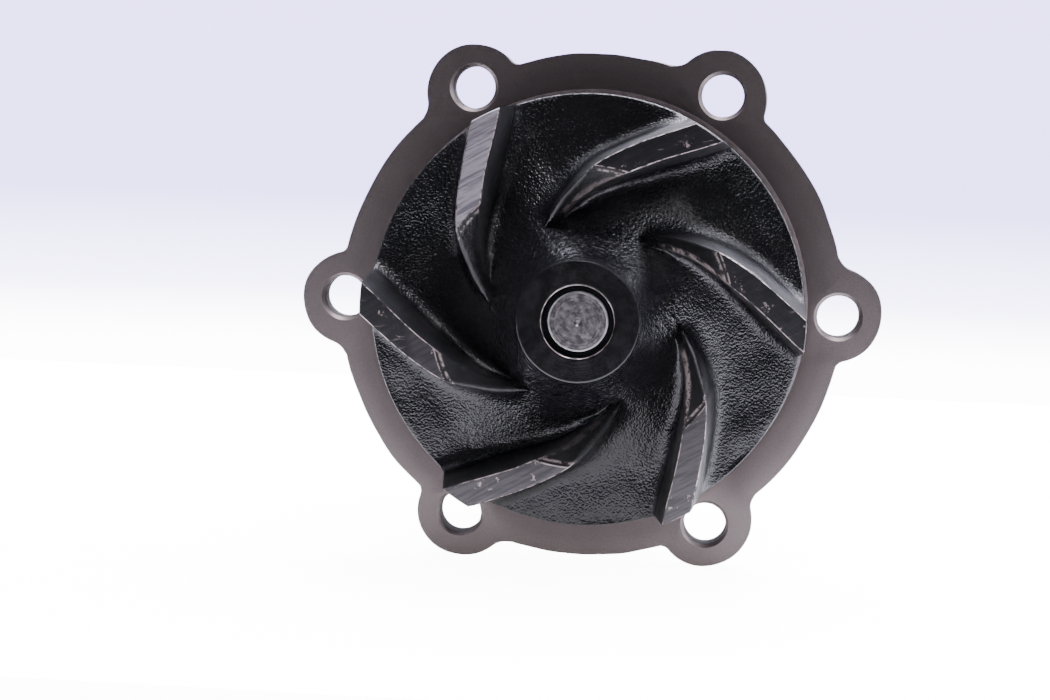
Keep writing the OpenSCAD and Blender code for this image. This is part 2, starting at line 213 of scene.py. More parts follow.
def wrap_surface(field, low, high, step):
    """Points and quads where a distance field is zero, one point in each crossed cell."""
    axes = [np.arange(a, b + step, step) for a, b in zip(low, high)]
    grid = np.stack(np.meshgrid(*axes, indexing="ij"), axis=-1)
    value = np.concatenate([field(part) for part in np.array_split(grid, 24)])
    inside = value < 0
    cells = tuple(n - 1 for n in value.shape)
    total = np.zeros(cells + (3,))
    hits = np.zeros(cells)
    quads = []
    number = np.full(cells, -1)
    for axis in range(3):
        near = [slice(None)] * 3
        far = [slice(None)] * 3
        near[axis], far[axis] = slice(0, -1), slice(1, None)
        one, two = value[tuple(near)], value[tuple(far)]
        crossed = np.argwhere(inside[tuple(near)] != inside[tuple(far)])
        picked = tuple(crossed.T)
        share = one[picked] / (one[picked] - two[picked])
        place = grid[tuple(near)][picked].copy()
        place[:, axis] += share * step
        first, second = [k for k in range(3) if k != axis]
        corners = []
        for a, b in ((0, 0), (1, 0), (1, 1), (0, 1)):
            cell = crossed.copy()
            cell[:, first] -= a
            cell[:, second] -= b
            corners.append(cell)
            spot = tuple(cell.T)
            np.add.at(total, spot, place)
            np.add.at(hits, spot, 1)
        flip = inside[tuple(near)][picked] ^ (axis == 1)
        quads.append((np.stack(corners, axis=1), flip))
    used = hits > 0
    number[used] = np.arange(used.sum())
    points = total[used] / hits[used][:, None]
    faces = []
    for corners, flip in quads:
        index = number[tuple(np.moveaxis(corners, -1, 0))]
        index[flip] = index[flip][:, ::-1]
        faces.append(index)
    for _ in range(2):
        nudges = np.eye(3) * PROBE
        slopes = [field(points + nudge) - field(points - nudge) for nudge in nudges]
        slope = np.stack(slopes, -1) / (2 * PROBE)
        size = np.maximum((slope ** 2).sum(-1), 0.2)
        points = points - slope * np.clip(field(points) / size, -0.3, 0.3)[:, None]
    return points, np.concatenate(faces)


def lathe(name, profile, steps, centre=(0, 0), axis="forward"):
    """Closed solid turned from (radius, height) points, from the axis back to the axis."""
    across, up = centre
    points, faces = [], []
    rings = []
    for radius, level in profile:
        if radius == 0:
            rings.append([len(points)])
            points.append((across, up, level))
            continue
        ring = []
        for step in range(steps):
            turn = 2 * math.pi * step / steps
            ring.append(len(points))
            points.append((across + radius * math.cos(turn), up + radius * math.sin(turn), level))
        rings.append(ring)
    for one, two in zip(rings, rings[1:]):
        for step in range(steps):
            ahead = (step + 1) % steps
            corners = [one[step % len(one)], one[ahead % len(one)],
                       two[ahead % len(two)], two[step % len(two)]]
            faces.append(tuple(dict.fromkeys(corners)))
    points = np.array(points)
    if axis == "up":
        points = points[:, [0, 2, 1]]
    return mesh_piece(name, on_shaft(points[:, 0], points[:, 1], points[:, 2]), faces)


def cut_away(piece, cutters):
    """Machines a casting: subtracts closed solids from it."""
    for cutter in cutters:
        cut = piece.modifiers.new("cut", "BOOLEAN")
        cut.operation = "DIFFERENCE"
        cut.solver = "MANIFOLD"
        cut.object = cutter
    bpy.context.view_layer.update()
    result = bpy.data.meshes.new_from_object(piece.evaluated_get(bpy.context.evaluated_depsgraph_get()))
    piece.modifiers.clear()
    piece.data = result
    for cutter in cutters:
        bpy.data.objects.remove(cutter)


# ---------- Housing ----------

def ear_turn(x, up):
    """Angle from the middle of the nearest ear."""
    pitch = 2 * math.pi / EAR_COUNT
    return (np.arctan2(up, x) + pitch / 2) % pitch - pitch / 2


def on_circle(radius, share):
    """Point at a share of a full turn on a circle round the shaft."""
    turn = 2 * math.pi * share
    return radius * math.cos(turn), radius * math.sin(turn)


def edge_distance(x, y, start, end):
    """Distance to the right-hand side of the line from start to end."""
    along = (end[0] - start[0], end[1] - start[1])
    return ((y - start[1]) * along[0] - (x - start[0]) * along[1]) / math.hypot(*along)


def flange_field(places):
    """Distance to the cast flange and ears, which stand proud of the mounting face until machined."""
    x, up, forward = np.moveaxis(places, -1, 0)
    radius = np.hypot(x, up)
    turn = ear_turn(x, up)
    along, across = radius * np.cos(turn), radius * np.sin(turn) - EAR_LEAN
    ear_x = HOLE_CIRCLE_R - EAR_INSET
    outline = np.minimum(radius - FLANGE_R, np.hypot(along - ear_x, across) - EAR_R)
    for way, blend_r in EAR_BLEND_R.items():
        reach_flange, reach_ear = FLANGE_R + blend_r, EAR_R + blend_r
        blend_x = (reach_flange ** 2 - reach_ear ** 2 + ear_x ** 2) / (2 * ear_x)
        blend_y = math.sqrt(reach_flange ** 2 - blend_x ** 2)
        side = across * way
        wedge = np.maximum(edge_distance(along, side, (ear_x / 2, 0), (blend_x, blend_y)),
                           edge_distance(along, side, (blend_x, blend_y), (ear_x, 0)))
        outside_blend = blend_r - np.hypot(along - blend_x, side - blend_y)
        corner = np.maximum(np.maximum(wedge, -side), outside_blend)
        outline = np.minimum(outline, corner)
    outline = outline + 0.02 * np.minimum(forward, 0)
    return round_meet(outline, np.maximum(forward - 2, -FLANGE_T - CAST_SPARE - forward), 1.3)


def web_field(places, angle):
    """Distance to one web that stiffens the snout."""
    x, up, forward = np.moveaxis(places, -1, 0)
    turn = math.radians(angle)
    reach = x * math.cos(turn) + up * math.sin(turn)
    side = np.abs(-x * math.sin(turn) + up * math.cos(turn))
    plate = np.full(reach.shape, -1e3)
    for (r0, z0), (r1, z1) in zip(WEB_OUTLINE, WEB_OUTLINE[1:] + WEB_OUTLINE[:1]):
        plate = np.maximum(plate, edge_distance(reach, forward, (r0, z0), (r1, z1)))
    thickness = side - WEB_HALF_T - WEB_DRAFT * np.clip(-plate, 0, 15)
    return round_meet(plate, thickness, 1.6)


def casting_field(places):
    """Distance to the whole housing as it comes out of the mould."""
    x, up, forward = np.moveaxis(places, -1, 0)
    radius = np.hypot(x, up)
    pot_back = POT_BACK - POT_DISH * (POT_DISH_R - radius)
    pot = round_meet(radius - POT_R, np.maximum(pot_back - forward, forward + 1), 6)
    snout = round_meet(radius - SNOUT_R, np.maximum(-SNOUT_BACK - forward, forward + 1), 1.5)
    body = round_join(pot, snout, 6)
    body = round_join(flange_field(places), body, 1.6)
    for angle in WEB_ANGLES:
        body = round_join(body, web_field(places, angle), 3)
    pad = np.maximum(np.hypot(x, forward - DRAIN_Z) - DRAIN_PAD_R, np.abs(up) - DRAIN_PAD_Z)
    body = round_join(body, pad, 2)
    body = body + cast_waves(places, SKIN_WAVES)
    return np.maximum(body, np.maximum(np.abs(x) - CAD_HALF_W, np.abs(up) - CAD_HALF_H))


def housing_hollow():
    """Outline of everything bored out on the axis, from the recess back to the bearing's end."""
    mouth_r = RECESS_R + RECESS_CHAMFER
    groove_r = BEARING_R + CIRCLIP_DEPTH
    lead_in_r = BEARING_R + 0.8
    return [
        (0, 5), (mouth_r, 5), (mouth_r, 0), (RECESS_R, -RECESS_CHAMFER_Z), (RECESS_R, -RECESS_DEPTH),
        (WATER_FLOOR_R, -RECESS_DEPTH), (36, -12), (SEAL_SEAT_R, -13), (SEAL_SEAT_R, -6),
        (SEAL_BORE_R, -6), (SEAL_BORE_R, SEAL_FLOOR), (NECK_BORE_R, SEAL_FLOOR),
        (NECK_BORE_R, BEARING_FRONT), (BEARING_R, BEARING_FRONT), (BEARING_R, CIRCLIP_FRONT),
        (groove_r, CIRCLIP_FRONT), (groove_r, CIRCLIP_BACK), (BEARING_R, CIRCLIP_BACK),
        (BEARING_R, -SNOUT_BACK + 0.8), (lead_in_r, -SNOUT_BACK), (lead_in_r, -75), (0, -75)]


def build_housing():
    low = (-63.5, -56.5, -SNOUT_BACK - 1.4)
    high = (63.5, 56.5, 2.4)
    points, faces = wrap_surface(casting_field, low, high, CAST_STEP)
    piece = mesh_piece("housing_casting", on_shaft(*points.T), faces.tolist())
    cutters = [lathe("hollow", housing_hollow(), 192)]
    cutters.append(lathe("front_face", [(0, 8), (70, 8), (70, 0), (0, 0)], 24))
    cutters.append(lathe("back_face", [(0, -SNOUT_BACK), (30, -SNOUT_BACK), (30, -80), (0, -80)], 24))
    for ear in range(EAR_COUNT):
        spot = -FLANGE_T - SPOT_FACE_CUT
        hole = [(0, 1), (HOLE_R + HOLE_CHAMFER + 1, 1), (HOLE_R, -HOLE_CHAMFER), (HOLE_R, spot),
                (SPOT_FACE_R, spot), (SPOT_FACE_R, -30), (0, -30)]
        cutters.append(lathe("hole", hole, 64, on_circle(HOLE_CIRCLE_R, ear / EAR_COUNT)))
    for up in (1, -1):
        drain = [(0, 10 * up), (DRAIN_R, 10 * up), (DRAIN_R, 40 * up), (0, 40 * up)]
        cutters.append(lathe("drain", drain, 32, (0, DRAIN_Z), "up"))
    cut_away(piece, cutters)
    mark_machined(piece.data)
    return piece


def mark_machined(mesh):
    """Writes which faces were cut, and smooths the cast ones."""
    count = len(mesh.polygons)
    centre, normal = np.empty(count * 3), np.empty(count * 3)
    mesh.polygons.foreach_get("center", centre)
    mesh.polygons.foreach_get("normal", normal)
    x, along, up = centre.reshape(-1, 3).T / MM
    forward = -along
    facing = -normal.reshape(-1, 3)[:, 1]
    radius = np.hypot(x, up)
    turn = ear_turn(x, up)
    to_hole = np.hypot(radius * np.cos(turn) - HOLE_CIRCLE_R, radius * np.sin(turn))
    cut = (forward > -0.01) & (facing > 0.9)
    cut |= (radius < RECESS_R + RECESS_CHAMFER + 0.1) & (forward > -RECESS_DEPTH - 0.1)
    cut |= (radius < SEAL_BORE_R + 0.15) & (forward < -5.9)
    cut |= to_hole < HOLE_R + HOLE_CHAMFER + 0.2
    cut |= (to_hole < SPOT_FACE_R + 0.05) & (np.abs(forward + FLANGE_T) < 0.1)
    cut |= (forward < 0.1 - SNOUT_BACK) & (facing < -0.9)
    # mouth: the recess and hole chamfers, which the shader colours bright as bare metal with a painted
    # highlight
    on_recess_edge = np.abs(radius - RECESS_R - RECESS_CHAMFER / 2) < 0.6
    on_hole_edge = np.abs(to_hole - HOLE_R - HOLE_CHAMFER / 2) < 0.4
    mouth = 1.0 * (on_recess_edge & (forward < -0.1) & (forward > -0.5))
    mouth += 0.15 * (on_hole_edge & (forward < -0.1) & (forward > -0.65))
    # bore: the bolt holes' walls, which the shader darkens as painted shade
    bore = (to_hole < HOLE_R + 0.1) & (forward < -0.1) & (np.abs(facing) < 0.3)
    for name, where in (("machined", cut), ("mouth", mouth), ("bore", bore)):
        layer = mesh.attributes.new(name, "FLOAT", "FACE")
        layer.data.foreach_set("value", where.astype(np.float32))
    tidy_normals(mesh, 32)


# ---------- Pulley hub ----------

PULLEY_HOLES = 4
PULLEY_CIRCLE_R = 26.0
TAP_R = 3.4
THREAD_PITCH = 1.25
THREAD_DEPTH = 0.55
TAP_MOUTH_R = TAP_R + THREAD_DEPTH + 2.4


def thread_profile(centre_low, centre_high):
    """Outline of a tap: thread grooves between two heights, and a countersink at each end."""
    profile = [(0, centre_low - 2), (TAP_MOUTH_R, centre_low - 2), (TAP_R, centre_low + 0.6)]
    level = centre_low + 0.9
    while level + THREAD_PITCH < centre_high - 0.6:
        profile.append((TAP_R, level))
        profile.append((TAP_R + THREAD_DEPTH, level + THREAD_PITCH / 2))
        level += THREAD_PITCH
    profile += [(TAP_R, level), (TAP_R, centre_high - 0.6),
                (TAP_MOUTH_R, centre_high + 2), (0, centre_high + 2)]
    return profile


def build_pulley_hub():
    """Turned hub pressed on the shaft, with a flange, a spigot and four tapped holes."""
    back, front, boss_front, pilot_back = -86.5, -78.5, -71.0, -89.5
    rim, boss, pilot = 36.0, 14.5, 12.5
    profile = [
        (0, boss_front), (9.2, boss_front), (boss - 0.6, boss_front), (boss, boss_front - 0.6),
        (boss, front + 2.0), (boss + 0.25, front + 1.0), (boss + 0.8, front + 0.35),
        (boss + 1.8, front), (rim - 0.8, front), (rim - 0.25, front - 0.2), (rim, front - 0.8),
        (rim, back + 0.8), (rim - 0.25, back + 0.2), (rim - 0.8, back), (pilot + 0.5, back),
        (pilot + 0.4, back + 0.3), (pilot, back + 0.3), (pilot, pilot_back + 0.6),
        (pilot - 0.6, pilot_back), (0, pilot_back)]
    piece = lathe("pulley_hub_turning", profile[::-1], 160)
    bore = [(0, -95), (9.5, -95), (SHAFT_R, pilot_back + 0.7),
            (SHAFT_R, boss_front - 0.7), (9.5, -66), (0, -66)]
    cutters = [lathe("bore", bore, 96)]
    for hole in range(PULLEY_HOLES):
        centre = on_circle(PULLEY_CIRCLE_R, (hole + 0.5) / PULLEY_HOLES)
        cutters.append(lathe("tap", thread_profile(back, front), 40, centre))
    cut_away(piece, cutters)
    tidy_normals(piece.data, 25)
    return piece


# ---------- Impeller ----------

def vane_angle(r):
    inward = IMPELLER_R - r
    return VANE_TIP_ANGLE + VANE_SWEEP * inward + VANE_SWEEP_GROWTH * inward ** 2


def vane_half_t(r):
    share = (r - VANE_INNER_R) / (IMPELLER_R - VANE_INNER_R)
    return (VANE_ROOT_T + (VANE_TIP_T - VANE_ROOT_T) * share) / 2


def disc_height(r):
    reach = HUB_R + TRUMPET_R - r
    if reach <= 0:
        return DISC_FRONT_Z
    return DISC_FRONT_Z + TRUMPET_R - math.sqrt(max(TRUMPET_R ** 2 - reach ** 2, 0))


def between(value, low, high):
    return min(max((value - low) / (high - low), 0.0), 1.0)


LAND_STEPS, EDGE_STEPS, FLANK_STEPS, FILLET_STEPS, FLOOR_STEPS = 4, 4, 7, 8, 9
FLANK_DRAFT = math.tan(math.radians(6))
FOOT_FILLET = 3.2
EDGE_R = 0.2
RIDGE_EDGE_R = 1.3


def ridge_height(r):
    """Top of the as-cast ridge that falls from a land's inner end into the hub's flare."""
    start_r, start_z = LAND_INNER_R - BEVEL_W, LAND_Z - RIDGE_DROP
    share = between(start_r - r, 0, start_r - RIDGE_END_R)
    return start_z - (start_z - disc_height(RIDGE_END_R)) * share ** 1.1


def half_section(r):
    """From a vane's middle to mid-passage: degrees from the vane, height, land, edge, skin."""
    floor = disc_height(r)
    machined = between(r, LAND_INNER_R - BEVEL_W, LAND_INNER_R)
    ridge = between(LAND_INNER_R - r, 0, LAND_INNER_R - RIDGE_END_R)
    top = max(LAND_Z - RIDGE_DROP * (1 - machined) if machined > 0 else ridge_height(r), floor)
    if r <= RIDGE_END_R:
        top = floor
    tall = top - floor
    half_t = vane_half_t(r) * (1 - ridge) + RIDGE_END_T / 2 * ridge
    edge_r = min(EDGE_R + (RIDGE_EDGE_R - EDGE_R) * min(3 * ridge, 1), 0.4 * tall)
    fillet_r = min(FOOT_FILLET, 0.75 * (tall - edge_r))
    is_land = 1.0 if r >= LAND_INNER_R - 0.02 else 0.0
    end_gaps = abs(r - LAND_INNER_R), abs(r - LAND_INNER_R + BEVEL_W * 0.7)
    cut_end = 1.0 if min(end_gaps) < 0.02 else 0.0
    half_top = max(half_t - edge_r, 0.1)
    wear = 1.0 if is_land or cut_end else between(0.85 - ridge, 0, 0.1)
    section = []
    for i in range(LAND_STEPS):
        section.append((half_top * i / (LAND_STEPS - 1), top, is_land * (1 - cut_end), cut_end, 0.5))
    for i in range(1, EDGE_STEPS + 1):
        turn = math.pi / 2 * i / EDGE_STEPS
        section.append((half_top + edge_r * math.sin(turn), top - edge_r + edge_r * math.cos(turn),
                        0.0, wear if i < EDGE_STEPS else 0.0, 0.5))
    high, low = top - edge_r, floor + fillet_r
    for i in range(1, FLANK_STEPS + 1):
        drop = (high - low) * i / FLANK_STEPS
        section.append((half_t + drop * FLANK_DRAFT, high - drop,
                        0.0, 0.0, 0.3 + 0.2 * i / FLANK_STEPS))
    foot = half_t + (high - low) * FLANK_DRAFT
    for i in range(1, FILLET_STEPS + 1):
        turn = math.pi / 2 * i / FILLET_STEPS
        section.append((foot + fillet_r * (1 - math.cos(turn)), floor + fillet_r * (1 - math.sin(turn)),
                        0.0, 0.0, 0.5 + 0.5 * i / FILLET_STEPS))
    slope = math.radians(VANE_SWEEP + 2 * VANE_SWEEP_GROWTH * (IMPELLER_R - r)) * r
    per_mm = math.degrees(math.sqrt(1 + slope ** 2) / r)
    half_pitch = 180 / VANES
    squeeze = min(1.0, 0.97 * half_pitch / (section[-1][0] * per_mm))
    smooth = between(tall, 0, 5)
    section = [(d * per_mm * squeeze, z, is_flat, worn, 1 - (1 - skin) * smooth)
               for d, z, is_flat, worn, skin in section]
    last = section[-1][0]
    for i in range(1, FLOOR_STEPS + 1):
        section.append((last + (half_pitch - last) * i / FLOOR_STEPS, floor, 0.0, 0.0, 1.0))
    return section


def full_section(r):
    """All the way round at radius r: angle in degrees, height, land, edge, skin, vane number."""
    half = half_section(r)
    on_ridge = r < LAND_INNER_R - BEVEL_W - 0.02
    around = []
    for vane in range(VANES):
        start = vane_angle(r) + vane * 360 / VANES
        rub, other_rub = (RIDGE_RUB[vane], 0.0) if on_ridge else (1.0, 1.0)
        around += [(start - a, z, is_flat, worn * rub, skin, vane)
                   for a, z, is_flat, worn, skin in reversed(half[1:-1])]
        around += [(start + a, z, is_flat, worn * other_rub, skin, vane)
                   for a, z, is_flat, worn, skin in half]
    return around


def impeller_radii():
    arc = [HUB_R + TRUMPET_R * (1 - math.cos(math.radians(a))) for a in np.linspace(3, 90, 46)]
    marks = [LAND_INNER_R - BEVEL_W - 0.25, LAND_INNER_R - BEVEL_W, LAND_INNER_R - BEVEL_W * 0.7,
             LAND_INNER_R - BEVEL_W * 0.4, LAND_INNER_R - 0.2, LAND_INNER_R, LAND_INNER_R + 0.2]
    marks += list(np.linspace(RIDGE_END_R - 1, RIDGE_END_R + 1.5, 6))
    rim = list(np.linspace(HUB_R + TRUMPET_R + 0.6, IMPELLER_R - 0.2, 12))
    return sorted(set(arc + marks + rim))


# Share of paint rubbed off along each vane's ridge
RIDGE_RUB = (0.9, 0.3, 0.0, 0.0, 0.15, 0.9)
# How worn each land is in its outer and inner part, from black paint to bright bare iron
LAND_BARE = ((0.15, 0.15), (0.15, 0.17), (1.0, 1.0), (0.14, 0.44), (0.56, 0.55), (0.56, 0.54))


# Share of paint rubbed off the impeller's rim
RIM_BARE = 0.35


def build_impeller():
    radii = impeller_radii()
    rows, land, edge, skin, bare, faced = [], [], [], [], [], []

    def add_row(radius, section, height=None, lands=True, metal=0.0, turned=0.0):
        rows.append([(radius, a, z if height is None else height(z)) for a, z, *_ in section])
        inner_share = between(IMPELLER_R - radius, 8, 10.5)
        wear = [first + (second - first) * inner_share for first, second in LAND_BARE]
        land.append([is_land * wear[vane] if lands else 0.0 for _, _, is_land, _, _, vane in section])
        edge.append([e if lands else 0.0 for _, _, _, e, _, _ in section])
        skin.append([k for _, _, _, _, k, _ in section])
        bare.append([metal] * len(section))
        faced.append([turned] * len(section))

    inner = full_section(radii[0])
    outer = full_section(IMPELLER_R)
    bore_top = HUB_Z - COUNTERBORE_DEPTH
    for step in range(9):
        share = step / 8
        blend = [(b[0] + (a[0] - b[0]) * share, 0, 0, 0, 0, 0) for a, b in zip(inner, outer)]
        level = SHOULDER_Z + (bore_top - SHOULDER_Z) * share
        add_row(NOSE_R, blend, lambda z: level, False, 0.0, 1.0)
    hub = [
        (COUNTERBORE_R, bore_top, 0), (COUNTERBORE_R, HUB_Z - 0.4, 0),
        (COUNTERBORE_R + 0.1, HUB_Z - 0.12, 0.7), (COUNTERBORE_R + 0.3, HUB_Z, 0.4),
        (COUNTERBORE_R + 0.6, HUB_Z, 0), (8.8, HUB_Z, 0), (10.2, HUB_Z, 0), (HUB_R - 0.5, HUB_Z, 0),
        (HUB_R - 0.18, HUB_Z, 0.4), (HUB_R - 0.05, HUB_Z - 0.1, 0.45), (HUB_R, HUB_Z - 0.5, 0),
        (HUB_R, HUB_Z - 1.8, 0), (HUB_R, DISC_FRONT_Z + TRUMPET_R, 0)]
    for radius, level, metal in hub:
        add_row(radius, inner, lambda z: level, False, metal, 1.0 if level > HUB_Z - 4 else 0.0)
    for radius in radii:
        add_row(radius, full_section(radius))
    tip = [(a, z - 0.2, is_land, 0.6 * is_land, skin_here, vane)
           for a, z, is_land, _, skin_here, vane in outer]
    add_row(IMPELLER_R, tip, None, True, RIM_BARE)
    low = DISC_BACK_Z + 0.4
    for step in range(1, 9):
        add_row(IMPELLER_R, tip, lambda z: z + (low - z) * step / 8, False, RIM_BARE)
    back = [(IMPELLER_R - 0.4, DISC_BACK_Z), (44, DISC_BACK_Z), (42, DISC_BACK_Z), (40.5, 5.3),
            (36, 6.7), (30, 8.4), (24, 10), (19, 12.4), (16, 13.9), (14, 14.7), (12.5, 14.6),
            (11.3, 13.6), (11, 12), (11, 8), (10.6, SHOULDER_Z), (8, SHOULDER_Z)]
    for radius, level in back:
        add_row(radius, tip, lambda z: level, False)
    columns = len(inner)
    angle = np.radians([[p[1] for p in row] for row in rows])
    radius = np.array([[p[0] for p in row] for row in rows])
    height = np.array([[p[2] for p in row] for row in rows])
    points = on_shaft(radius * np.cos(angle), radius * np.sin(angle), height).reshape(-1, 3)
    piece = mesh_piece("impeller_casting", points, grid_faces(len(rows), columns), 40)
    mesh = piece.data
    layers = {"land": land, "edge": edge, "skin": skin, "bare": bare, "faced": faced}
    for name, values in layers.items():
        layer = mesh.attributes.new(name, "FLOAT", "POINT")
        layer.data.foreach_set("value", np.array(values, dtype=np.float32).ravel())
    roughen_casting(mesh, np.array(land).ravel() + np.array(edge).ravel(), radius)
    return piece


def roughen_casting(mesh, machined, radius):
    """Waves of a sand casting on the unmachined skin, pushed along the surface's normals."""
    count = len(mesh.vertices)
    places = np.empty(count * 3)
    normals = np.empty(count * 3)
    mesh.vertices.foreach_get("co", places)
    mesh.vertices.foreach_get("normal", normals)
    places = places.reshape(-1, 3)
    cast = (machined < 0.01) & (radius.ravel() > HUB_R + 0.4) & (radius.ravel() < IMPELLER_R - 0.6)
    push = cast_waves(places / MM, 0.1) * cast
    mesh.vertices.foreach_set("co", (places + normals.reshape(-1, 3) * push[:, None] * MM).ravel())
    mesh.update()


# ---------- Materials ----------

def set_stops(ramp, stops):
    """Fills a colour ramp with (position, colour or grey level) stops."""
    elements = ramp.color_ramp.elements
    while len(elements) < len(stops):
        elements.new(0.5)
    for element, (position, colour) in zip(elements, stops):
        element.position = position
        element.color = (*colour, 1) if isinstance(colour, tuple) else (colour, colour, colour, 1)


class Shader:
    """Small helper that adds nodes to one material and links them."""

    def __init__(self, name):
        self.material = bpy.data.materials.new(name)
        self.material.use_nodes = True
        self.nodes = self.material.node_tree.nodes
        self.links = self.material.node_tree.links
        self.surface = self.nodes["Principled BSDF"]
        self.place = self.add("ShaderNodeTexCoord").outputs["Object"]

    def add(self, kind, **settings):
        node = self.nodes.new(kind)
        for key, value in settings.items():
            setattr(node, key, value)
        return node

    def link(self, source, target):
        self.links.new(source, target)

    def set(self, **values):
        for key, value in values.items():
            self.surface.inputs[key.replace("_", " ")].default_value = value

    def math(self, operation, first, second=None, third=None):
        node = self.add("ShaderNodeMath", operation=operation)
        for slot, value in enumerate((first, second, third)):
            if value is None:
                continue
            if isinstance(value, (int, float)):
                node.inputs[slot].default_value = value
            else:
                self.link(value, node.inputs[slot])
        return node.outputs[0]

    def noise(self, scale, detail=4, roughness=0.55, place=None):
        node = self.add("ShaderNodeTexNoise")
        node.inputs["Scale"].default_value = scale
        node.inputs["Detail"].default_value = detail
        node.inputs["Roughness"].default_value = roughness
        self.link(place or self.place, node.inputs["Vector"])
        return node.outputs["Fac"]

    def stretch(self, scale, turn=(0, 0, 0)):
        """Place turned by the given angles and then drawn out by scale along each axis."""
        node = self.add("ShaderNodeMapping", vector_type="TEXTURE")
        node.inputs["Scale"].default_value = scale
        node.inputs["Rotation"].default_value = turn
        self.link(self.place, node.inputs["Vector"])
        return node.outputs["Vector"]

    def ramp(self, value, *stops):
        node = self.add("ShaderNodeValToRGB")
        set_stops(node, stops)
        self.link(value, node.inputs["Fac"])
        return node.outputs["Color"]

    def mix(self, share, first, second):
        node = self.add("ShaderNodeMix", data_type="RGBA")
        for slot, value in (("Factor", share), ("A", first), ("B", second)):
            target = [s for s in node.inputs if s.name == slot and s.enabled][0]
            if isinstance(value, (int, float)):
                target.default_value = value
            elif isinstance(value, tuple):
                target.default_value = (*value, 1)
            else:
                self.link(value, target)
        return [s for s in node.outputs if s.enabled][0]

    def attribute(self, name):
        node = self.add("ShaderNodeAttribute", attribute_name=name)
        return node.outputs["Fac"]

    def bump(self, height, depth_mm, strength=1.0, normal=None):
        node = self.add("ShaderNodeBump")
        node.inputs["Distance"].default_value = depth_mm * MM
        node.inputs["Strength"].default_value = strength
        self.link(height, node.inputs["Height"])
        if normal is not None:
            self.link(normal, node.inputs["Normal"])
        return node.outputs["Normal"]

    def feed(self, socket, value):
        self.link(value, self.surface.inputs[socket])

    def rings(self, scale):
        """Uneven rings about the shaft's axis, scale to the millimetre."""
        node = self.add("ShaderNodeTexNoise", noise_dimensions="1D")
        node.inputs["Scale"].default_value = scale
        node.inputs["Detail"].default_value = 2
        self.link(self.shaft_radius(), node.inputs["W"])
        return node.outputs["Fac"]

    def split_place(self):
        """Place across, along the shaft and up, in metres."""
        split = self.add("ShaderNodeSeparateXYZ")
        self.link(self.place, split.inputs[0])
        return split.outputs

    def shaft_radius(self):
        """Distance from the shaft's axis, in millimetres."""
        across, _, up = self.split_place()
        squares = self.math("ADD", self.math("MULTIPLY", across, across), self.math("MULTIPLY", up, up))
        return self.math("MULTIPLY", self.math("SQRT", squares), 1000)


def use(piece, shader):
    """Gives a piece or CAD node the shader's material in every slot."""
    piece.data.materials.clear()
    piece.data.materials.append(shader.material)


CUTTER_ANGLE = math.radians(-30)
SCRATCH_ANGLE = math.radians(-8)


